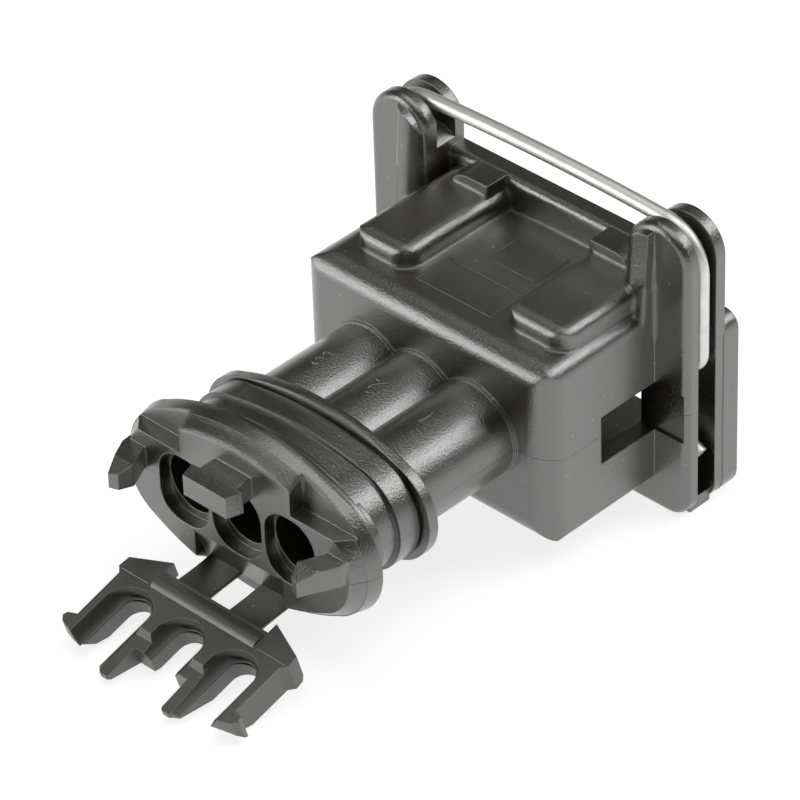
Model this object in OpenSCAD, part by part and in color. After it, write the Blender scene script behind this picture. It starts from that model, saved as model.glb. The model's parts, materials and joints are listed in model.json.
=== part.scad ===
// Sealed rectangular connector housing, contacts in one row, with a sprung wire clip and a rear retainer.
// The contact row runs along X, the mating direction is +Y and the wires enter from -Y. Up is +Z.
// The origin is on the axis of the middle wire bore, at the rear face of the box.
// The rear retainer is drawn as moulded: open, hanging from its two hinge straps.

/* [Contacts] */

// Distance between neighbouring contacts
pitch = 5; // [4.9:0.02:5.1]

// Diameter of each wire-seal bore
bore_d = 4.6; // [4.2:0.05:4.8]

// Width of each contact chamber
chamber_w = 3.6; // [3.0:0.1:4.0]

// Height of each contact chamber
chamber_h = 3.2; // [2.8:0.1:3.8]

// Front face of the contact carrier
carrier_y = 11.5; // [10.5:0.1:11.8]

/* [Box] */

// Width of the box that holds the mating shroud
box_w = 23.06; // [22.9:0.02:23.4]

// Height of the box
box_h = 14.4; // [14.2:0.05:14.6]

// Thickness of the side walls
wall_side = 1.4; // [1.0:0.05:1.6]

// Thickness of the top and bottom walls
wall_flat = 1.3; // [1.0:0.05:1.5]

// Thickness of the rear wall
wall_rear = 1.6; // [1.2:0.1:2.2]

// Length of the side windows
window_l = 5.65; // [3.0:0.05:6.0]

// Lower edge of the side windows
window_low = -3.0; // [-4:0.1:-2]

// Upper edge of the side windows
window_high = 1.0; // [0.5:0.1:2]

/* [Keyways] */

// Sideways offset of the pair of keyway bulges
key_shift = 0.55; // [0:0.05:0.6]

// Height of the keyway bulges above the box
key_rise = 1.65; // [1.4:0.05:1.9]

// Height of the thickened blocks above the box
block_rise = 2.6; // [2.2:0.05:2.6]

/* [Front] */

// Front face of the housing
front_y = 16.2; // [15.9:0.05:16.6]

// Thickness of the front flange
flange_t = 1.5; // [1.2:0.05:1.8]

// Full width over the ears and the flange
ear_span = 29.7; // [29.5:0.05:30.0]

// Sideways offset of the ears, the flange and the wire clip
ear_shift = -0.35; // [-0.4:0.05:0]

// Bottom level of the ears and the flange
foot_z = -9.7; // [-9.9:0.05:-9.6]

// Top level of the ears
ear_top = 14.05; // [13.8:0.05:14.3]

// Inner edge of the ears
ear_in = 9.39; // [9.3:0.02:9.6]

// Rear face of the ears
ear_back = 10.9; // [10.7:0.05:11.0]

// Thickness of the rear ear plates
ear_t = 1.15; // [1.1:0.05:1.3]

// Width of the slot for the wire
clip_slot = 1.85; // [1.6:0.05:1.9]

/* [Wire clip] */

// Diameter of the spring wire
wire_d = 1.1; // [0.9:0.05:1.15]

// Height of the wire's axis at the middle of its top bar
bar_z = 13.58; // [13.5:0.02:13.8]

// Inset of each leg's axis from the ears' outer edge
leg_inset = 0.56; // [0.5:0.02:0.7]

// Distance from each leg's axis to the core between the ear plates
core_gap = 0.69; // [0.65:0.01:0.75]

/* [Rear] */

// Radius of the three lobes behind the box
lobe_r = 3.62; // [3.5:0.02:3.7]

// Half width of the rear collar at its ridge
collar_a = 11.47; // [11.3:0.01:11.6]

// Half height of the rear collar at its ridge
collar_b = 6.8; // [6.6:0.05:7.0]

// Rear face of the collar
collar_end = -18.1; // [-18.2:0.05:-18.0]

/* [Retainer] */

// Downward slope of the open retainer, in degrees
comb_slope = 15.7; // [10:0.1:16]

// Half width of the retainer's wire slots
slot_half = 1.15; // [0.9:0.05:1.2]

// Thickness of the hinge straps
strap_t = 0.3; // [0.2:0.05:0.4]

// Width of each hinge strap
strap_w = 3.0; // [2:0.1:3.2]

/* [Hidden] */

$fn = 64;

lobes = [-pitch, 0, pitch];
bx = box_w / 2;
bz = box_h / 2;
cav_x = bx - wall_side;
cav_z = bz - wall_flat;
ex = ear_span / 2;
slot_back = ear_back + ear_t;
slot_front = slot_back + clip_slot;
flange_back = front_y - flange_t;
wire_y = slot_back + 0.9;
leg_x = ex - leg_inset;
core_out = leg_x - core_gap;
key_front = 13.5;
carrier_a = 7.5;
carrier_b = 3.5;
comb_y = -19.65;
comb_z = -6.0;
strap_z = -5.6;
core_r = 2.55;

black = [0.05, 0.05, 0.055];

// ---- helpers ----

// Extrudes an X-Z outline from y0 to y1.
module slab(y0, y1)
    translate([0, y1, 0]) rotate([90, 0, 0]) linear_extrude(y1 - y0) children();

// Extrudes a Y-Z outline from x0 to x1.
module across(x0, x1)
    translate([x0, 0, 0]) rotate([90, 0, 90]) linear_extrude(x1 - x0) children();

// Repeats its children mirrored about the middle.
module both() {
    children();
    mirror([1, 0, 0]) children();
}

// Rectangle from (x0, y0) to (x1, y1) with corner radius r.
module rrect(x0, y0, x1, y1, r) {
    translate([x0 + r, y0]) square([x1 - x0 - 2 * r, y1 - y0]);
    translate([x0, y0 + r]) square([x1 - x0, y1 - y0 - 2 * r]);
    for (x = [x0 + r, x1 - r], y = [y0 + r, y1 - r])
        translate([x, y]) circle(r);
}

// Block with separate corner radii in plan, in side view and in front view.
module soft_block(p, q, r_plan, r_side, r_front)
    intersection() {
        translate([0, 0, p[2]]) linear_extrude(q[2] - p[2]) rrect(p[0], p[1], q[0], q[1], r_plan);
        across(p[0] - 1, q[0] + 1) rrect(p[1], p[2], q[1], q[2], r_side);
        slab(p[1] - 1, q[1] + 1) rrect(p[0], p[2], q[0], q[2], r_front);
    }

// Flat oval: two long arcs of radius big joined by round ends, half width a, half height b.
// The ends are a little fuller than tangent, so that they cut the long arcs cleanly.
full = 0.06;

function end_r(a, b, big) = (2 * big * b - a * a - b * b) / (2 * (big - a));

module oval(a, b, big) {
    r = end_r(a, b, big);
    c = a - r;
    n = sqrt(c * c + (big - b) * (big - b));
    dx = c / n;
    dy = (big - b) / n;
    k = 2 * b;
    for (s = [-1, 1]) translate([s * (c - full), 0]) circle(r + full);
    intersection() {
        translate([0, b - big]) circle(big, $fn = 200);
        translate([0, big - b]) circle(big, $fn = 200);
        polygon([
            [c, 0], [c + k * dx, k * dy], [-c - k * dx, k * dy],
            [-c, 0], [-c - k * dx, -k * dy], [c + k * dx, -k * dy]
        ]);
    }
}

// Oval slice that shrinks evenly by t from y1 back to y0.
module oval_taper(y0, y1, a, b, big, t) {
    r = end_r(a, b, big);
    c = a - r;
    n = sqrt(c * c + (big - b) * (big - b));
    dx = c / n;
    dy = (big - b) / n;
    k = 2 * b;
    h = y1 - y0;
    translate([0, y1, 0]) rotate([90, 0, 0]) {
        for (s = [-1, 1]) translate([s * (c - full), 0, 0]) cylinder(h = h, r1 = r + full, r2 = r + full - t);
        intersection() {
            translate([0, b - big, 0]) cylinder(h = h, r1 = big, r2 = big - t, $fn = 200);
            translate([0, big - b, 0]) cylinder(h = h, r1 = big, r2 = big - t, $fn = 200);
            linear_extrude(h) polygon([
                [c, 0], [c + k * dx, k * dy], [-c - k * dx, k * dy],
                [-c, 0], [-c - k * dx, -k * dy], [c + k * dx, -k * dy]
            ]);
        }
    }
}

// ---- housing ----

module box_body() {
    intersection() {
        translate([0, 0, -bz]) linear_extrude(box_h) rrect(-bx, 0, bx, 30, 1.8);
        across(-bx - 1, bx + 1) rrect(0, -bz, 30, bz, 1.5);
        slab(-1, 31) {
            rrect(-bx, 0, 0, bz, 2.2);
            rrect(-6, 0, bx, bz, 1.2);
            rrect(-bx, -bz, bx, bz - 2, 0.3);
        }
        translate([-20, -1, -20]) cube([40, front_y + 1, 40]);
    }
}

module keyway_bulge(x0, x1)
    intersection() {
        soft_block([x0, 2.7, 0], [x1, 30, bz + key_rise], 1.6, 0.9, 0.9);
        translate([-20, 0, 0]) cube([40, key_front, 20]);
    }

module key_block(x_in, x_out)
    slab(11.3, key_front - 0.1) {
        w = x_out - x_in;
        translate([x_in, bz - 1]) square([w - 2, block_rise + 1]);
        translate([x_in, bz - 1]) square([w, block_rise - 1]);
        translate([x_out - 2, bz + block_rise - 2]) circle(2);
    }

module keyways() {
    translate([key_shift, 0, 0]) {
        keyway_bulge(4.45, 10.15);
        keyway_bulge(-9.75, -4.45);
        key_block(4.7, 8.75);
        mirror([1, 0, 0]) key_block(4.85, 8.75);
    }
}

module front_rim() {
    across(-ear_in - 0.3, ear_in + 0.3) {
        translate([13.2, bz - 1]) square([flange_back - 13.2 + 0.1, 3.0]);
        translate([13.7, bz - 1]) square([flange_back - 13.7 + 0.1, 3.55]);
        translate([13.75, bz + 2.0]) circle(0.55);
    }
    slab(flange_back - 0.2, front_y) rrect(-bx + 0.3, 0, bx - 0.3, bz + 0.9, 1.2);
}

// Outline of an ear plate, inset by g along its top, outer and bottom edges.
module ear_outline(top, out, r, g) {
    f = 1.75;
    intersection() {
        union() {
            translate([out - r, top - r]) circle(r - g);
            translate([out - 2 * r, foot_z + f]) square([2 * r - g, top - r - foot_z - f]);
            translate([ear_in - 3, foot_z + g]) square([out - f - ear_in + 3, top - r - foot_z - g]);
            translate([out - f, foot_z + f]) circle(f - g);
        }
        translate([ear_in, foot_z]) square([10, top - foot_z + 1]);
    }
}

module ear() {
    e = ear_t / 2;
    r = 2.85;
    f = 1.75;
    y = ear_back + e;
    // rear plate with a rounded outer edge
    slab(ear_back, slot_back) ear_outline(ear_top, ex, r, e);
    slab(y, slot_back) ear_outline(ear_top, ex, r, 0);
    intersection() {
        translate([ex - r, y, ear_top - r]) rotate([90, 0, 0]) rotate_extrude() translate([r - e, 0]) circle(e, $fn = 24);
        translate([ear_in, 0, ear_top - r]) cube([10, 20, 10]);
    }
    translate([ex - e, y, foot_z + f]) cylinder(h = ear_top - r - foot_z - f, r = e, $fn = 24);
    intersection() {
        translate([ex - f, y, foot_z + f]) rotate([90, 0, 0]) rotate_extrude() translate([f - e, 0]) circle(e, $fn = 24);
        translate([ex - f, 0, foot_z - 1]) cube([10, 20, f + 1]);
    }
    translate([ear_in, y, foot_z + e]) rotate([0, 90, 0]) cylinder(h = ex - f - ear_in, r = e, $fn = 24);
    // front plate
    slab(slot_front, flange_back + 0.1) ear_outline(ear_top - 0.35, ex - 0.05, 2.75, 0);
    // core between the plates, clear of the wire at rest and pressed
    slab(slot_back - 0.1, slot_front + 0.1) {
        intersection() {
            translate([core_out - core_r, 8.35]) circle(core_r);
            translate([ear_in, 0]) square([10, 20]);
        }
        polygon([[ear_in, 3.4], [bx, 3.4], [core_out, 5.0], [core_out, 8.35], [ear_in, 8.35]]);
    }
    slab(slot_back - 0.1, slot_front + 0.1) translate([ear_in, foot_z]) square([ex - ear_in - 0.6, 1.0]);
}

// Thickening behind an ear: it leans forward, its inner edge is rounded and it stands on the box.
module gusset(x_in) {
    r = 2.4;
    top = ear_top - 0.5;
    intersection() {
        translate([0, 9.51, bz - 2]) rotate([-4.9, 0, 0]) linear_extrude(10) {
            translate([x_in + 1.2, 0]) square([bx - x_in - 1.2, 4]);
            translate([x_in, 1.2]) square([2, 2.8]);
            translate([x_in + 1.2, 1.2]) circle(1.2);
        }
        slab(8, slot_back) {
            translate([x_in + r, top - r]) circle(r);
            translate([x_in, bz - 1]) square([bx - x_in, top - r - bz + 1]);
        }
    }
}

module shroud_cavity() {
    slab(wall_rear, front_y + 1) rrect(-cav_x, -cav_z, cav_x, cav_z, 1.0);
    translate([key_shift, 0, 0]) {
        slab(4.0, front_y + 1) rrect(5.6, 0, 9.0, bz + 0.5, 0.4);
        slab(4.0, front_y + 1) rrect(-8.6, 0, -5.6, bz + 0.5, 0.4);
    }
    slab(front_y - 0.8, front_y + 1) rrect(-cav_x - 0.4, -cav_z - 0.4, cav_x + 0.4, cav_z + 0.4, 1.4);
    both() {
        translate([cav_x - 1, 5.45, window_low]) cube([5, window_l, window_high - window_low]);
        translate([cav_x - 1, slot_back, -6.95]) cube([wall_side + 2, clip_slot, 9.75]);
    }
}

module contact_carrier() {
    difference() {
        slab(wall_rear - 0.2, carrier_y) rrect(-carrier_a, -carrier_b, carrier_a, carrier_b, 1.2);
        for (x = lobes) slab(carrier_y - 2, carrier_y + 1) rrect(x - 1.75, -0.75, x + 1.75, 0.75, 0.2);
    }
}

module barrel() {
    for (x = lobes) {
        translate([x, 0.2, 0]) rotate([90, 0, 0]) cylinder(h = 14.6, r = lobe_r);
        translate([x, 0.3, 0]) rotate([90, 0, 0]) cylinder(h = 0.5, r = lobe_r + 0.19);
    }
    slab(-10.4, -9.6) oval(10.5, 5.4, 20);
    slab(-12.4, -10.6) oval(9.75, 4.84, 28);
    slab(-16.3, -10.0) oval(9.4, 4.6, 28);
    slab(-14.95, -14.24) oval(9.95, 5.25, 16);
    slab(-16.0, -15.1) oval(10.6, 6.0, 17.5);
    oval_taper(-17.1, -15.9, collar_a, collar_b, 17.5, 0.25);
    oval_taper(collar_end, -17.0, collar_a - 0.25, collar_b - 0.25, 17.25, 0.75);
    slab(collar_end + 0.05, -15.0) oval(9.4, 4.6, 28);
}

// Slanted face under the collar, as a height for each y.
function notch_z(y) = -0.93 - (y + 19) / 0.42;

function notch_y(z) = -19 - 0.42 * (z + 0.93);

module rear_cuts() {
    // upper outer steps behind the hooks
    both() translate([5.2, collar_end - 1, 2.96]) cube([10, 2.25, 5]);
    // slanted notch where the straps begin
    across(-4.2, 4.2) polygon([[-19, notch_z(-19)], [-19, -9], [-16.9, -9], [-16.9, notch_z(-16.9)]]);
    // mouths
    for (x = lobes) {
        slab(collar_end - 1, collar_end + 1.0) rrect(x - 2.35, -2.9, x + 2.35, 2.6, 2.0);
        translate([x, 1.0, 0]) rotate([90, 0, 0]) cylinder(h = 25, d = bore_d);
        slab(0.5, carrier_y - 1.5) rrect(x - chamber_w / 2, -chamber_h / 2, x + chamber_w / 2, chamber_h / 2, 0.3);
    }
}

// Catch for the retainer's outer prongs, with a lead-in slope at its rear end.
module hook() {
    intersection() {
        linear_extrude(1.7) polygon([
            [8.61, -17.6], [8.61, -18.3], [7.75, -20.1], [8.2, -21.1], [8.9, -21.35], [10.3, -18.6], [10.4, -17.6]
        ]);
        across(7, 11) polygon([[-22, -1], [-17, -1], [-17, 2], [-20.0, 1.7], [-21.4, 1.2], [-22, 1.0]]);
    }
}

module latch_tab() {
    translate([0, 0, 2.65]) linear_extrude(1.65) polygon([
        [-1.7, -17.6], [1.7, -17.6], [1.7, -19.5], [2.4, -19.6], [2.0, -20.85],
        [-2.0, -20.85], [-2.4, -19.6], [-1.7, -19.5]
    ]);
}

module housing() {
    color(black) difference() {
        union() {
            difference() {
                union() {
                    box_body();
                    keyways();
                    gusset(ear_in + ear_shift + 0.2);
                    mirror([1, 0, 0]) gusset(ear_in - ear_shift + 0.2);
                    translate([ear_shift, 0, 0]) {
                        front_rim();
                        slab(flange_back, front_y) {
                            rrect(-ex, foot_z, ex, 3, 1.75);
                            rrect(-ex, -4, ex, 5.35, 1.2);
                        }
                        both() ear();
                    }
                }
                shroud_cavity();
            }
            contact_carrier();
            barrel();
            both() hook();
            latch_tab();
        }
        rear_cuts();
    }
}

// ---- seal round the contact carrier ----

module interface_seal() {
    a = carrier_a + 0.9;
    b = carrier_b + 0.9;
    color([0.16, 0.17, 0.18]) difference() {
        union() {
            slab(wall_rear, 5.2) rrect(-a, -b, a, b, 2.0);
            for (y = [2.3, 4.0]) slab(y, y + 0.7) rrect(-a - 0.4, -b - 0.4, a + 0.4, b + 0.4, 2.3);
        }
        slab(0, 8) rrect(-carrier_a, -carrier_b, carrier_a, carrier_b, 1.2);
    }
}

// ---- wire clip ----

// Bends are a hair thinner than the straight runs, which reach lap into them, so that all join into one wire.
lap = 0.1;

module wire_bend(c, r, a0, a1, d)
    translate([c[0], 0, c[1]]) rotate([90, 0, 0]) rotate([0, 0, a0])
        rotate_extrude(angle = a1 - a0) translate([r, 0]) circle(d = d, $fn = 32);

module wire_run(p, q) {
    d = q - p;
    translate([p[0], 0, p[1]]) rotate([0, atan2(d[0], d[1]), 0]) cylinder(h = norm(d), d = wire_d, $fn = 32);
}

function unit(v) = v / norm(v);

function turn_angle(a, p, b) = acos(max(-1, min(1, unit(p - a) * unit(b - p))));

// Bend of radius r that rounds the corner p between a and b.
module wire_corner(a, p, b, r) {
    d1 = unit(p - a);
    d2 = unit(b - p);
    side = sign(d1[0] * d2[1] - d1[1] * d2[0]);
    ph = turn_angle(a, p, b);
    n = [-d1[1], d1[0]] * side;
    a0 = atan2(-n[1], -n[0]);
    wire_bend(p - d1 * r * tan(ph / 2) + n * r, r, side > 0 ? a0 : a0 - ph, side > 0 ? a0 + ph : a0, wire_d - 0.02);
}

// Straight runs through the points with a bend of radius r at each inner one.
module wire_path(pts, r) {
    last = len(pts) - 1;
    for (i = [1 : last - 1]) wire_corner(pts[i - 1], pts[i], pts[i + 1], r);
    for (i = [0 : last - 1]) {
        p = pts[i];
        q = pts[i + 1];
        d = unit(q - p);
        s = i == 0 ? 0 : r * tan(turn_angle(pts[i - 1], p, q) / 2);
        e = i == last - 1 ? lap : r * tan(turn_angle(p, q, pts[i + 2]) / 2);
        wire_run(p + d * (s - lap), q - d * (e - lap));
    }
}

module wire_clip() {
    rb = 3.25;
    ang = 3.1;
    more = 0.025;
    half = leg_x - rb + rb * sin(ang);
    big = half / sin(ang);
    cx = leg_x - rb;
    cz = bar_z - big + (big - rb) * cos(ang);
    color([0.75, 0.75, 0.73]) translate([ear_shift, wire_y, 0]) {
        wire_bend([0, bar_z - big], big, 90 - ang - more, 90 + ang + more, wire_d);
        both() {
            wire_bend([cx, cz], rb, 0, 90 - ang, wire_d - 0.02);
            wire_path([[leg_x, cz], [leg_x, 2.75], [10.0, 0.3], [10.0, -2.6], [leg_x, -5.1]], 1.2);
        }
    }
}

// ---- rear retainer, drawn in its own plane: u along the prongs, v up out of it ----

module comb_place()
    translate([0, comb_y, comb_z]) rotate([180 + comb_slope, 0, 0]) mirror([0, 0, 1]) children();

comb_edge = [
    [4.9, 0.6], [4.9, -0.27], [8.0, 1.04], [8.1, 1.95], [7.65, 2.4], [7.6, 6.6], [8.3, 6.85],
    [8.45, 7.2], [8.1, 7.6], [7.1, 7.95], [6.3, 8.1], [5, 8.1], [3.5, 8.85], [3.25, 9.1],
    [2.7, 9.1], [2.5, 8.9], [2.5, 6.3]
];

module comb_outline()
    polygon(concat(comb_edge, [for (i = [len(comb_edge) - 1 : -1 : 0]) [-comb_edge[i][0], comb_edge[i][1]]]));

// Open wire slot with a half-round trough above it.
module wire_slot(x) {
    translate([x, 3.9, -3]) cylinder(h = 6, r = slot_half, $fn = 48);
    translate([x - slot_half, 3.9, -3]) cube([2 * slot_half, 8, 6]);
    intersection() {
        translate([x, 12, 1.25]) rotate([90, 0, 0]) cylinder(h = 12, r = 2.14);
        translate([0, 0, -2]) linear_extrude(4) {
            translate([x, 4.66]) circle(2.05);
            translate([x - 2.05, 4.66]) square([4.1, 8]);
        }
    }
}

module rear_retainer() {
    color(black) comb_place() difference() {
        union() {
            intersection() {
                translate([0, 0, -3]) linear_extrude(5) comb_outline();
                across(-12, 12) polygon([[-0.5, -0.8], [0.6, -0.8], [1.3, -1.9], [5.8, -1.9], [9.2, -0.6], [9.5, 0.5], [-0.5, 0.5]]);
            }
            // hinge bar
            across(-4.9, 4.9) translate([1.5, -0.1]) circle(0.87);
        }
        // lower tops of the two middle prongs
        across(-3.84, 3.84) polygon([[5.0, 0.6], [5.4, 0.0], [9.5, -0.25], [9.5, 2], [5.0, 2]]);
        // lead-in under the tips of the outer prongs
        both() across(4, 12) polygon([[6.7, -2.5], [6.7, -1.7], [7.9, -0.5], [10, -0.5], [10, -2.5]]);
        for (x = lobes) wire_slot(x);
    }
}

// ---- hinge straps ----

module hinge_strap() {
    y = comb_y - 0.57 * cos(comb_slope) - 0.19 * sin(comb_slope) + 0.05;
    z = comb_z - 0.57 * sin(comb_slope) + 0.19 * cos(comb_slope);
    color(black) across(2.45 - strap_w / 2, 2.45 + strap_w / 2)
        polygon([[notch_y(strap_z), strap_z], [y, z], [y, z - strap_t], [notch_y(strap_z - strap_t), strap_z - strap_t]]);
}

housing();
interface_seal();
wire_clip();
rear_retainer();
mirror([1, 0, 0]) hinge_strap();  // hinge_strap_left
hinge_strap();  // hinge_strap_right
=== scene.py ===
import json
import math

import bpy
from mathutils import Matrix, Vector


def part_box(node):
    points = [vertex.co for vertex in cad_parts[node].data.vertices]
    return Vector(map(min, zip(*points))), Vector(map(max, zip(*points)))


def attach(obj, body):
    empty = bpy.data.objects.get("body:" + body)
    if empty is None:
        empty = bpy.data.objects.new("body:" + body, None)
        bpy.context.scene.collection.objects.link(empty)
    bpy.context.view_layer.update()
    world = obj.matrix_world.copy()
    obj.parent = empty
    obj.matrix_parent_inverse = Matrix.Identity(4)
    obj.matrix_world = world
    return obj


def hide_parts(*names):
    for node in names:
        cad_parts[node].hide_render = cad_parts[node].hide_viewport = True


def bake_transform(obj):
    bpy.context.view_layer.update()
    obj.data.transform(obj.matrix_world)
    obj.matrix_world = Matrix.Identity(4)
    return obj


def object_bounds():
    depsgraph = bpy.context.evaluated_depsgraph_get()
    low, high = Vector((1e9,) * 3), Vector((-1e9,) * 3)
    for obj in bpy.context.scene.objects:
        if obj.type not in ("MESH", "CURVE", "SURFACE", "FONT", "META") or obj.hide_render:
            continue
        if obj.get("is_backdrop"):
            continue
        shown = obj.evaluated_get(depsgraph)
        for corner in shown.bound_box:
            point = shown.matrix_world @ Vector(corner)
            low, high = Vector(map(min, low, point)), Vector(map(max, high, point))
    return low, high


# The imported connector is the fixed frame: every size below is in metres in its frame, with the
# contact row along X, the mating direction +Y and Z up.
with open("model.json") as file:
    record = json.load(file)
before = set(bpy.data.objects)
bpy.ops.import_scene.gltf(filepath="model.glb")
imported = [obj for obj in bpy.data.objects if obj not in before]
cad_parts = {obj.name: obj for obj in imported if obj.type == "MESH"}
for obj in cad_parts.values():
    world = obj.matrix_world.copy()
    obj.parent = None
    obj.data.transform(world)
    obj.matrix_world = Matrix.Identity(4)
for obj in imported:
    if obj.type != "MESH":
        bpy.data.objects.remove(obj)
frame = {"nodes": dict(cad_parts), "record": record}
nodes = frame["nodes"]
cad_low, cad_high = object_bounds()
mm = 0.001


# -------------------------------------------------------------------------------------------------
# Shader helpers, shared by every material below.
def new_group(name, inputs, outputs):
    """A group whose inputs are numbers with their usual values."""
    group = bpy.data.node_groups.new(name, "ShaderNodeTree")
    for label, value in inputs:
        kind = "NodeSocketFloat"
        socket = group.interface.new_socket(name=label, in_out="INPUT", socket_type=kind)
        socket.default_value = value
    for label, kind in outputs:
        group.interface.new_socket(name=label, in_out="OUTPUT", socket_type=kind)
    return group, group.nodes.new("NodeGroupInput"), group.nodes.new("NodeGroupOutput")


def new_material(name):
    material = bpy.data.materials.new(name)
    material.use_nodes = True
    tree = material.node_tree
    return material, tree, tree.nodes["Principled BSDF"]


def dress(piece, material):
    piece.data.materials.clear()
    piece.data.materials.append(material)


def add(tree, kind, **settings):
    node = tree.nodes.new(kind)
    for key, value in settings.items():
        setattr(node, key, value)
    return node


def link(tree, source, target):
    tree.links.new(source, target)


def feed(tree, value, target):
    """Sets a socket to a number or colour, or links another socket to it."""
    if isinstance(value, (int, float, tuple)):
        target.default_value = value
    else:
        link(tree, value, target)


def use(tree, group, **values):
    node = add(tree, "ShaderNodeGroup", node_tree=group)
    for key, value in values.items():
        node.inputs[key.replace("_", " ")].default_value = value
    return node


def math_node(tree, operation, a, b=None, c=None, clamp=False):
    node = add(tree, "ShaderNodeMath", operation=operation, use_clamp=clamp)
    for slot, value in enumerate((a, b, c)):
        if value is not None:
            feed(tree, value, node.inputs[slot])
    return node.outputs[0]


def map_range(tree, value, first, last, low=0.0, high=1.0, smooth=False):
    """Takes a value from the range first to last over to the range low to high."""
    kind = "SMOOTHSTEP" if smooth else "LINEAR"
    node = add(tree, "ShaderNodeMapRange", interpolation_type=kind)
    node.inputs["From Min"].default_value = first
    node.inputs["From Max"].default_value = last
    node.inputs["To Min"].default_value = low
    node.inputs["To Max"].default_value = high
    link(tree, value, node.inputs["Value"])
    return node.outputs[0]


def mix_colour(tree, factor, first, second):
    node = add(tree, "ShaderNodeMix", data_type="RGBA", blend_type="MIX")
    link(tree, factor, node.inputs["Factor"])
    for slot, colour in (("A", first), ("B", second)):
        feed(tree, colour, next(i for i in node.inputs if i.name == slot and i.type == "RGBA"))
    return next(o for o in node.outputs if o.type == "RGBA")


def object_place(tree):
    return add(tree, "ShaderNodeTexCoord").outputs["Object"]


def split_axes(tree, vector):
    node = add(tree, "ShaderNodeSeparateXYZ")
    link(tree, vector, node.inputs[0])
    return node.outputs


def noise(tree, vector, scale, detail=2.0):
    node = add(tree, "ShaderNodeTexNoise")
    node.inputs["Detail"].default_value = detail
    feed(tree, scale, node.inputs["Scale"])
    link(tree, vector, node.inputs["Vector"])
    return node.outputs[0]


def bump(tree, height, strength, distance, normal=None):
    node = add(tree, "ShaderNodeBump")
    node.inputs["Strength"].default_value = strength
    node.inputs["Distance"].default_value = distance
    link(tree, height, node.inputs["Height"])
    if normal is not None:
        link(tree, normal, node.inputs["Normal"])
    return node.outputs[0]


# -------------------------------------------------------------------------------------------------
# Housing: one moulding of black, glass-filled plastic. Box with the mating shroud, three lobes for
# the wire seals, oval rear collar, keyway bulges and the two double ears that guide the wire clip.
# The satin skin is slightly uneven, its edges are soft and the mould's parting line runs round it.
black = (0.0118, 0.0106, 0.0078, 1.0)
rubbed = (0.045, 0.045, 0.044, 1.0)
dust_tone = (0.20, 0.195, 0.185, 1.0)


def make_skin_group():
    """Fine grain and slow unevenness of a moulded skin, over softened edges, as one normal."""
    group, inside, out = new_group(
        "moulded_skin",
        [
            ("Grain size", 0.16 * mm),
            ("Grain depth", 0.02 * mm),
            ("Wave depth", 0.01 * mm),
            ("Edge radius", 0.15 * mm),
            ("Roof edge radius", 0.15 * mm),
            ("Seam", 0.0),
        ],
        [("Normal", "NodeSocketVector"), ("Mottle", "NodeSocketFloat")],
    )
    waves_per_metre = 420.0
    seam_depth = 0.03 * mm
    # the box's upper edges are rounder: above its sides, below the ears' tops, behind the flange
    roof_limits = (
        ("Z", 4.2 * mm, 5.2 * mm),
        ("Z", 9.6 * mm, 9.0 * mm),
        ("Y", 13.5 * mm, 13.3 * mm),
    )
    place = object_place(group)
    grains_per_metre = math_node(group, "DIVIDE", 1.0, inside.outputs["Grain size"])
    grain = noise(group, place, grains_per_metre, detail=3.0)
    wave = noise(group, place, waves_per_metre)
    axes = split_axes(group, place)
    steps = [map_range(group, axes[axis], first, last) for axis, first, last in roof_limits]
    on_roof = math_node(group, "MULTIPLY", steps[0], steps[1])
    on_roof = math_node(group, "MULTIPLY", on_roof, steps[2])
    edge, roof_edge = inside.outputs["Edge radius"], inside.outputs["Roof edge radius"]
    extra = math_node(group, "SUBTRACT", roof_edge, edge)
    soft = add(group, "ShaderNodeBevel", samples=8)
    link(group, math_node(group, "MULTIPLY_ADD", on_roof, extra, edge), soft.inputs["Radius"])
    fine = math_node(group, "MULTIPLY", grain, inside.outputs["Grain depth"])
    slow = math_node(group, "MULTIPLY", wave, inside.outputs["Wave depth"])
    groove = math_node(group, "MULTIPLY", inside.outputs["Seam"], seam_depth)
    height = math_node(group, "ADD", fine, slow)
    height = math_node(group, "SUBTRACT", height, groove)
    normal = bump(group, height, 1.0, 1.0, soft.outputs[0])
    link(group, normal, out.inputs["Normal"])
    link(group, wave, out.inputs["Mottle"])
    return group


def make_dust_group():
    """Sparse pale specks of dust and flash, as a mask."""
    group, inside, out = new_group(
        "dust_specks",
        [("Spacing", 1.2 * mm), ("Speck size", 0.06)],
        [("Mask", "NodeSocketFloat")],
    )
    share_left_clean = 0.55
    cells = add(group, "ShaderNodeTexVoronoi", feature="F1")
    cells.inputs["Randomness"].default_value = 1.0
    link(group, object_place(group), cells.inputs["Vector"])
    cells_per_metre = math_node(group, "DIVIDE", 1.0, inside.outputs["Spacing"])
    link(group, cells_per_metre, cells.inputs["Scale"])
    size = inside.outputs["Speck size"]
    near = math_node(group, "LESS_THAN", cells.outputs["Distance"], size)
    lot = add(group, "ShaderNodeSeparateColor")
    link(group, cells.outputs["Color"], lot.inputs[0])
    some = math_node(group, "GREATER_THAN", lot.outputs[0], share_left_clean)
    link(group, math_node(group, "MULTIPLY", near, some), out.inputs["Mask"])
    return group


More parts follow.
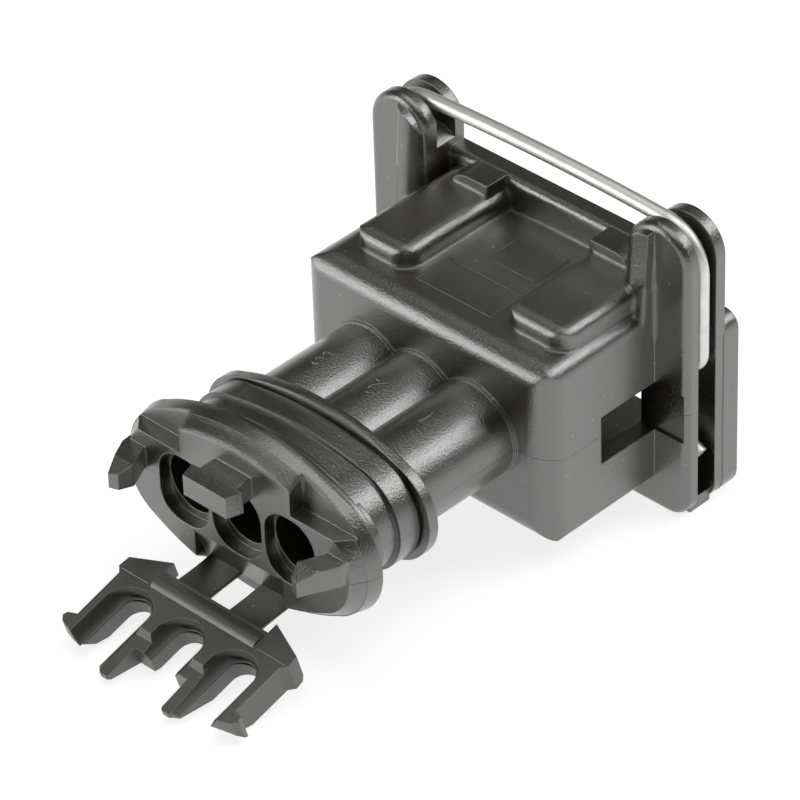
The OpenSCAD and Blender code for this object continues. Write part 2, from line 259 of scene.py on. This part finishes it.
def make_wear_group():
    """Edges that handling has polished, as a mask: there a softened normal leaves the true one."""
    group, inside, out = new_group(
        "edge_wear",
        [("Reach", 0.25 * mm), ("Amount", 1.0)],
        [("Mask", "NodeSocketFloat")],
    )
    gain = 8.0
    patches_per_metre = 900.0
    soft = add(group, "ShaderNodeBevel", samples=4)
    link(group, inside.outputs["Reach"], soft.inputs["Radius"])
    true = add(group, "ShaderNodeNewGeometry")
    alike = add(group, "ShaderNodeVectorMath", operation="DOT_PRODUCT")
    link(group, soft.outputs[0], alike.inputs[0])
    link(group, true.outputs["Normal"], alike.inputs[1])
    away = math_node(group, "SUBTRACT", 1.0, alike.outputs["Value"])
    patchy = noise(group, object_place(group), patches_per_metre)
    worn = math_node(group, "MULTIPLY", away, math_node(group, "MULTIPLY", patchy, gain))
    worn = math_node(group, "MULTIPLY", worn, inside.outputs["Amount"], clamp=True)
    link(group, worn, out.inputs["Mask"])
    return group


def make_seam_group():
    """The mould's parting line, as a mask: level with the bores, a little lower along the box."""
    group, inside, out = new_group(
        "parting_line",
        [("Half width", 0.04 * mm), ("Drop", 0.55 * mm)],
        [("Mask", "NodeSocketFloat")],
    )
    dropped_from = 2.5 * mm
    axes = split_axes(group, object_place(group))
    along = map_range(group, axes["Y"], 0.0, dropped_from, smooth=True)
    level = math_node(group, "MULTIPLY", along, inside.outputs["Drop"])
    off = math_node(group, "ABSOLUTE", math_node(group, "ADD", axes["Z"], level))
    share = math_node(group, "DIVIDE", off, inside.outputs["Half width"])
    line = math_node(group, "SUBTRACT", 1.0, share, clamp=True)
    link(group, line, out.inputs["Mask"])
    return group


moulded_skin = make_skin_group()
dust_specks = make_dust_group()
edge_wear = make_wear_group()
parting_line = make_seam_group()


def moulded_plastic(
    name,
    colour,
    gloss,
    grain,
    wave,
    index=2.4,
    seam=True,
    wear=0.2,
    edge=0.15,
    roof_edge=0.15,
    worn=rubbed,
):
    """A moulded plastic: gloss is its roughness, and grain, wave and the edges are in mm."""
    speck_size = 0.085
    wear_reach = 0.1 * mm
    smoother, rougher = 0.05, 0.07
    material, tree, shader = new_material(name)
    shader.inputs["IOR"].default_value = index
    shader.inputs["Coat Weight"].default_value = 1.0
    shader.inputs["Coat IOR"].default_value = 1.6
    shader.inputs["Coat Roughness"].default_value = gloss
    skin = use(tree, moulded_skin, Grain_depth=grain * mm, Wave_depth=wave * mm)
    skin.inputs["Edge radius"].default_value = edge * mm
    skin.inputs["Roof edge radius"].default_value = roof_edge * mm
    dust = use(tree, dust_specks, Speck_size=speck_size)
    wear_mask = use(tree, edge_wear, Amount=wear, Reach=wear_reach)
    tone = mix_colour(tree, wear_mask.outputs["Mask"], colour, worn)
    if seam:
        line = use(tree, parting_line)
        link(tree, line.outputs["Mask"], skin.inputs["Seam"])
        tone = mix_colour(tree, line.outputs["Mask"], tone, rubbed)
    tone = mix_colour(tree, dust.outputs["Mask"], tone, dust_tone)
    link(tree, tone, shader.inputs["Base Color"])
    mottle = skin.outputs["Mottle"]
    rough = map_range(tree, mottle, 0.0, 1.0, gloss - smoother, gloss + rougher)
    link(tree, rough, shader.inputs["Roughness"])
    link(tree, skin.outputs["Normal"], shader.inputs["Normal"])
    return material


housing_plastic = moulded_plastic(
    "housing_plastic", black, gloss=0.29, grain=0.042, wave=0.008, roof_edge=0.65
)
dress(nodes["housing"], housing_plastic)


# -------------------------------------------------------------------------------------------------
# Mesh helpers, shared by every piece that is modelled below.
def clear_selection():
    if bpy.context.mode != "OBJECT":
        bpy.ops.object.mode_set(mode="OBJECT")
    bpy.ops.object.select_all(action="DESELECT")


def take(piece):
    clear_selection()
    bpy.context.view_layer.objects.active = piece
    piece.select_set(True)


def close_up(piece):
    """Merges points that meet and turns every face outwards."""
    take(piece)
    bpy.ops.object.mode_set(mode="EDIT")
    bpy.ops.mesh.select_all(action="SELECT")
    bpy.ops.mesh.remove_doubles(threshold=0.001 * mm)
    bpy.ops.mesh.normals_make_consistent(inside=False)
    bpy.ops.object.mode_set(mode="OBJECT")


def settle(piece):
    """Puts the piece's place into its mesh."""
    take(piece)
    bpy.ops.object.transform_apply(location=True, rotation=True, scale=True)


# -------------------------------------------------------------------------------------------------
# Circuit numbers: raised 3, 2 and 1 on top of the three lobes, one above each wire bore, cut into
# the mould and so part of the housing. They read from the mating side.
bore_mounts = {m["name"]: m for m in frame["record"]["mounts"] if m["kind"] == "bore"}
lobe_radius = 3.62 * mm
number_height = 1.8 * mm
number_middle = -4.68 * mm
number_thickness = 0.3 * mm
number_sink = 0.04 * mm
slice_width = 0.15 * mm
slices_each_side = 4


def raised_text(name, words, height, thickness):
    """Flat figures of the height and thickness given, lying on the ground at the origin."""
    figure_share, stroke_gain = 0.7, 0.012
    clear_selection()
    bpy.ops.object.text_add(location=(0, 0, 0))
    text = bpy.context.object.data
    text.body = words
    text.size = height / figure_share
    text.extrude = thickness / 2
    text.offset = height * stroke_gain
    text.resolution_u = 6
    text.align_x = "CENTER"
    text.align_y = "CENTER"
    bpy.ops.object.convert(target="MESH")
    piece = bpy.context.object
    piece.name = name
    tall = piece.dimensions.y
    piece.scale = (height / tall, height / tall, 1)
    settle(piece)
    close_up(piece)
    return piece


for name, figure in (("wire_bore_left", "3"), ("wire_bore_middle", "2"), ("wire_bore_right", "1")):
    bore_x = bore_mounts[name]["pos_m"][0]
    number = raised_text("circuit_number_" + figure, figure, number_height, number_thickness)
    # cut into upright slices, so that its faces can bend round the lobe
    bpy.ops.object.mode_set(mode="EDIT")
    for step in range(-slices_each_side, slices_each_side + 1):
        bpy.ops.mesh.select_all(action="SELECT")
        bpy.ops.mesh.bisect(plane_co=(step * slice_width, 0, 0), plane_no=(1, 0, 0))
    bpy.ops.object.mode_set(mode="OBJECT")
    heights = [v.co.y for v in number.data.vertices]
    middle_y = (min(heights) + max(heights)) / 2
    for vertex in number.data.vertices:
        turn = -vertex.co.x / lobe_radius
        reach = lobe_radius + vertex.co.z - number_sink
        vertex.co = (
            bore_x + reach * math.sin(turn),
            number_middle - (vertex.co.y - middle_y),
            reach * math.cos(turn),
        )
    close_up(number)
    dress(number, housing_plastic)
    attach(number, "housing")

# -------------------------------------------------------------------------------------------------
# Marking fields on the roof of the box: two thin raised frames left by the mould's marking
# inserts, kept bare. Both are part of the housing moulding. Their colour is darker than the
# housing's: painted shade, so that the raised frames read as dark engraved lines.
roof = 7.2 * mm
rib = 0.16 * mm
rib_rise = 0.06 * mm
rib_round = 0.03 * mm
# painted shade: a near-black colour, darker than the housing's, so the raised ribs read as dark
# engraved lines
painted_shade_rib = moulded_plastic(
    "marking_rib_painted_shade",
    (0.004, 0.004, 0.004, 1),
    gloss=0.5,
    grain=0.01,
    wave=0.0,
    index=2.0,
    seam=False,
    wear=0.0,
    edge=0.02,
    roof_edge=0.02,
)


def marking_frame(name, left, right, rear, front):
    """A rectangular frame between four outer edges, half sunk into the roof."""
    clear_selection()
    middle = ((left + right) / 2, (rear + front) / 2, roof - rib_rise)
    bpy.ops.mesh.primitive_plane_add(size=1.0, location=middle)
    piece = bpy.context.object
    piece.name = name
    piece.scale = (right - left, front - rear, 1)
    settle(piece)
    bpy.ops.object.mode_set(mode="EDIT")
    bpy.ops.mesh.select_all(action="SELECT")
    bpy.ops.mesh.inset(thickness=rib)
    bpy.ops.mesh.delete(type="FACE")
    bpy.ops.mesh.select_all(action="SELECT")
    bpy.ops.mesh.extrude_region_move(TRANSFORM_OT_translate={"value": (0, 0, 2 * rib_rise)})
    bpy.ops.object.mode_set(mode="OBJECT")
    close_up(piece)
    bevel = piece.modifiers.new("worn_rib", "BEVEL")
    bevel.width = rib_round
    bevel.segments = 2
    bpy.ops.object.modifier_apply(modifier="worn_rib")
    dress(piece, painted_shade_rib)
    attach(piece, "housing")


marking_frame("marking_frame_large", -3.15 * mm, 3.87 * mm, 2.75 * mm, 6.15 * mm)
marking_frame("marking_frame_small", -1.15 * mm, 3.4 * mm, 7.75 * mm, 11.25 * mm)

# -------------------------------------------------------------------------------------------------
# Interface seal: a ring of dark silicone with two lips, slipped over the contact carrier inside
# the shroud, where it seals against the mating header.
seal_dark = (0.035, 0.038, 0.042, 1)
seal_pale = (0.06, 0.064, 0.07, 1)
silicone, tree, shader = new_material("seal_rubber")
shader.inputs["IOR"].default_value = 1.43
shader.inputs["Roughness"].default_value = 0.62
bloom = use(
    tree, moulded_skin, Grain_size=0.08 * mm, Grain_depth=0.004 * mm, Wave_depth=0.01 * mm
)
specks = use(tree, dust_specks, Spacing=0.8 * mm, Speck_size=0.07)
tone = mix_colour(tree, bloom.outputs["Mottle"], seal_dark, seal_pale)
tone = mix_colour(tree, specks.outputs["Mask"], tone, dust_tone)
link(tree, tone, shader.inputs["Base Color"])
link(tree, bloom.outputs["Normal"], shader.inputs["Normal"])
dress(nodes["interface_seal"], silicone)

# -------------------------------------------------------------------------------------------------
# Wire clip: one length of bright, hard-drawn spring wire bent to a U. Its crowned top bar is
# pressed down to spread the legs, which reach into the shroud through side slots to lock the
# mating header.
bright_steel = (0.98, 0.98, 0.97, 1)
dull_steel = (0.74, 0.74, 0.73, 1)
film_per_metre = 900.0
drawing_per_metre = (900.0, 7000.0, 900.0)
drawing_depth = 0.02 * mm
steel, tree, shader = new_material("spring_wire")
shader.inputs["Metallic"].default_value = 1.0
place = object_place(tree)
stretch = add(tree, "ShaderNodeMapping")
stretch.inputs["Scale"].default_value = drawing_per_metre
link(tree, place, stretch.inputs["Vector"])
drawn = noise(tree, stretch.outputs[0], 1.0, detail=4.0)
film = noise(tree, place, film_per_metre, detail=3.0)
tone = mix_colour(tree, film, bright_steel, dull_steel)
link(tree, tone, shader.inputs["Base Color"])
link(tree, map_range(tree, film, 0.0, 1.0, 0.38, 0.56), shader.inputs["Roughness"])
link(tree, bump(tree, drawn, 0.5, drawing_depth), shader.inputs["Normal"])
dress(nodes["wire_clip"], steel)

# -------------------------------------------------------------------------------------------------
# Rear retainer: a comb of the same black plastic, moulded open on its straps. It folds up behind
# the collar, its slots pass over the wires and its barbed tips snap onto the hooks and the
# T-shaped tab.
retainer_plastic = moulded_plastic(
    "retainer_plastic",
    black,
    gloss=0.46,
    grain=0.02,
    wave=0.01,
    index=2.0,
    seam=False,
    wear=1.0,
    edge=0.08,
    worn=(0.16, 0.16, 0.155, 1),
)
dress(nodes["rear_retainer"], retainer_plastic)
comb_slope = math.radians(15.7)
comb_y, comb_z = -19.65, -6.0


def on_comb(x, along, up_from):
    """A point of the open retainer: across, along its prongs and out of it, in millimetres."""
    y = comb_y - along * math.cos(comb_slope) - up_from * math.sin(comb_slope)
    z = comb_z - along * math.sin(comb_slope) + up_from * math.cos(comb_slope)
    return (x * mm, y * mm, z * mm)


def thin_ridge(name, points, radius, closed=False):
    """A fine raised line left by the mould, drawn as a curve and turned into a mesh."""
    clear_selection()
    bpy.ops.curve.primitive_bezier_curve_add()
    curve = bpy.context.object.data
    bpy.context.object.location = (0, 0, 0)
    curve.splines.clear()
    line = curve.splines.new("POLY")
    line.points.add(len(points) - 1)
    for target, point in zip(line.points, points):
        target.co = (*point, 1.0)
    line.use_cyclic_u = closed
    curve.dimensions = "3D"
    curve.bevel_depth = radius
    curve.bevel_resolution = 1
    curve.use_fill_caps = True
    bpy.ops.object.convert(target="MESH")
    piece = bpy.context.object
    piece.name = name
    close_up(piece)
    bpy.ops.object.shade_smooth_by_angle(angle=math.radians(50))
    dress(piece, retainer_plastic)
    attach(piece, "rear_retainer")


def arc(x, along, radius, start, steps, count):
    """Points on a circle of the comb's plane, in equal steps of a half turn."""
    turns = [start + math.pi * i / steps for i in range(count)]
    return [(x + radius * math.cos(t), along + radius * math.sin(t)) for t in turns]


# the lip along the floor of each slot, where the two halves of the mould met: the slot's middle,
# and how far its left and right sides run
slots = (("left", -5.0, 7.7, 8.6), ("middle", 0.0, 6.1, 6.1), ("right", 5.0, 8.6, 7.7))
slot_side, slot_end, lip_level, lip_radius = 1.2, 3.9, -0.53, 0.075 * mm
for name, middle, left_end, right_end in slots:
    lip = [(middle - slot_side, left_end)]
    lip += arc(middle, slot_end, slot_side, math.pi, 16, 17)
    lip += [(middle + slot_side, right_end)]
    thin_ridge("slot_lip_" + name, [on_comb(x, along, lip_level) for x, along in lip], lip_radius)
# a step line across both arms and the round mark of an ejector pin, on the upper face
face_level = 0.49
for side, sign in (("left", -1), ("right", 1)):
    step_line = [on_comb(sign * x, 2.0, face_level) for x in (5.2, 6.5, 7.8)]
    thin_ridge("arm_line_" + side, step_line, 0.05 * mm)
ring = [on_comb(x, along, face_level) for x, along in arc(7.58, 7.0, 0.32, 0.0, 12, 24)]
thin_ridge("ejector_mark", ring, 0.06 * mm, closed=True)

# -------------------------------------------------------------------------------------------------
# Hinge straps: two thin living hinges between the collar's notch and the retainer, moulded with
# both, thinner in the middle where the plastic was made to fold.
strap_plastic = moulded_plastic(
    "strap_plastic", black, gloss=0.38, grain=0.008, wave=0.012, index=1.8, seam=False
)
strap_thickness = 0.3 * mm
strap_overlap = 0.05 * mm
strap_corner = 0.08 * mm
strap_waist = 0.35
strap_steps = 24
for side in ("left", "right"):
    low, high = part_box("hinge_strap_" + side)
    middle_x = (low[0] + high[0]) / 2
    start = Vector((middle_x, high[1] + strap_overlap, high[2] - strap_thickness / 2))
    finish = Vector((middle_x, low[1] - strap_overlap, low[2] + strap_thickness / 2))
    clear_selection()
    bpy.ops.mesh.primitive_plane_add(size=1.0, location=start, rotation=(math.pi / 2, 0, 0))
    strap = bpy.context.object
    strap.name = "living_hinge_" + side
    strap.scale = (high[0] - low[0], strap_thickness, 1)
    settle(strap)
    bpy.ops.object.mode_set(mode="EDIT")
    bpy.ops.mesh.select_all(action="SELECT")
    bpy.ops.mesh.bevel(offset=strap_corner, segments=3, affect="VERTICES")
    bends = [math.sin(math.pi * i / strap_steps) for i in range(strap_steps + 1)]
    sizes = [1.0 - strap_waist * bend**2 for bend in bends]
    stride = (finish - start) / strap_steps
    for i in range(strap_steps):
        bpy.ops.mesh.extrude_region_move(TRANSFORM_OT_translate={"value": stride})
        middle = start + stride * (i + 1)
        shrink = sizes[i + 1] / sizes[i]
        bpy.ops.transform.resize(value=(1, 1, shrink), center_override=middle)
    bpy.ops.object.mode_set(mode="OBJECT")
    close_up(strap)
    bpy.ops.object.shade_smooth_by_angle(angle=math.radians(40))
    dress(strap, strap_plastic)
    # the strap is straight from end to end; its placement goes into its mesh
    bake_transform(strap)
    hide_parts("hinge_strap_" + side)

# -------------------------------------------------------------------------------------------------
# Studio: a plain pale floor just under the ears, soft boxes to both sides and above, a room that
# is bright at the horizon and dim overhead, and the camera. The floor shows white to the camera
# and to reflections, and keeps the shadow.
floor_gap = 0.01 * mm
floor_size = 6.0
floor_grey = 0.45
floor_in_reflections = 0.6
floor_near, floor_far = 0.79, 1.0
near_reach, far_reach = 0.12, 0.6
clear_selection()
bpy.ops.mesh.primitive_grid_add(
    x_subdivisions=4, y_subdivisions=4, size=floor_size, location=(0, 0, cad_low[2] - floor_gap)
)
floor = bpy.context.object
floor.name = "floor"
paper, tree, shader = new_material("pale_floor")
tree.nodes.remove(shader)
matt = add(tree, "ShaderNodeBsdfDiffuse")
matt.inputs["Color"].default_value = (floor_grey, floor_grey, floor_grey, 1)
glow = add(tree, "ShaderNodeEmission")
path = add(tree, "ShaderNodeLightPath").outputs
mirrored = math_node(tree, "MAXIMUM", path["Is Glossy Ray"], path["Is Transmission Ray"])
mirrored = math_node(tree, "MULTIPLY", mirrored, floor_in_reflections)
measure = add(tree, "ShaderNodeVectorMath", operation="LENGTH")
link(tree, object_place(tree), measure.inputs[0])
away = measure.outputs["Value"]
seen = map_range(tree, away, near_reach, far_reach, floor_near, floor_far, smooth=True)
shown = math_node(tree, "MULTIPLY_ADD", path["Is Camera Ray"], seen, mirrored)
link(tree, shown, glow.inputs["Strength"])
both = add(tree, "ShaderNodeAddShader")
link(tree, matt.outputs[0], both.inputs[0])
link(tree, glow.outputs[0], both.inputs[1])
link(tree, both.outputs[0], tree.nodes["Material Output"].inputs["Surface"])
dress(floor, paper)
floor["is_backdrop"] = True


def direction(azimuth, elevation):
    """Unit vector at an azimuth from +X towards +Y and an elevation, both in degrees."""
    a, e = math.radians(azimuth), math.radians(elevation)
    return Vector((math.cos(a) * math.cos(e), math.sin(a) * math.cos(e), math.sin(e)))


def soft_box(name, azimuth, elevation, distance, size, power):
    """A rectangular lamp at a distance, turned to the middle of the connector."""
    lamp = bpy.data.lights.new(name, "AREA")
    lamp.shape = "RECTANGLE"
    lamp.size, lamp.size_y = size
    lamp.energy = power
    holder = bpy.data.objects.new(name, lamp)
    bpy.context.scene.collection.objects.link(holder)
    out = direction(azimuth, elevation)
    holder.location = out * distance
    holder.rotation_mode = "QUATERNION"
    holder.rotation_quaternion = out.to_track_quat("Z", "Y")


soft_box("soft_box_left", -127, 16, 0.45, (0.22, 0.30), 0.66)
soft_box("soft_box_right", 51, 40, 0.45, (0.23, 0.22), 0.62)
soft_box("soft_box_above", 0, 89, 0.60, (0.62, 0.62), 1.8)

horizon_light, overhead_light, dim_from = 0.8, 0.05, 0.22
world = bpy.data.worlds.new("room")
bpy.context.scene.world = world
world.use_nodes = True
tree = world.node_tree
heading = add(tree, "ShaderNodeTexCoord").outputs["Generated"]
rise = split_axes(tree, heading)["Z"]
room = map_range(tree, rise, 0.0, dim_from, horizon_light, overhead_light, smooth=True)
path = add(tree, "ShaderNodeLightPath").outputs
room = math_node(tree, "MAXIMUM", path["Is Camera Ray"], room)
link(tree, room, tree.nodes["Background"].inputs["Strength"])
tree.nodes["Background"].inputs["Color"].default_value = (1, 1, 1, 1)

camera_azimuth, camera_elevation, camera_roll = 44.915, 36.634, 1.986
camera_distance, shift_right, shift_up = 364.498 * mm, -1.5893 * mm, -0.1158 * mm
back = direction(camera_azimuth - 90, camera_elevation)
right = direction(camera_azimuth, 0)
up = back.cross(right)
roll = math.radians(camera_roll)
turned_right = right * math.cos(roll) - up * math.sin(roll)
turned_up = right * math.sin(roll) + up * math.cos(roll)
lens = bpy.data.cameras.new("camera")
lens.sensor_width = 36.0
lens.lens = 238.99
lens.clip_start, lens.clip_end = 0.01, 20.0
camera = bpy.data.objects.new("camera", lens)
bpy.context.scene.collection.objects.link(camera)
spot = back * camera_distance + turned_right * shift_right + turned_up * shift_up
turn = Matrix((turned_right, turned_up, back)).transposed().to_4x4()
camera.matrix_world = Matrix.Translation(spot) @ turn
bpy.context.scene.camera = camera

bpy.context.scene.view_settings.view_transform = "Standard"

low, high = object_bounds()
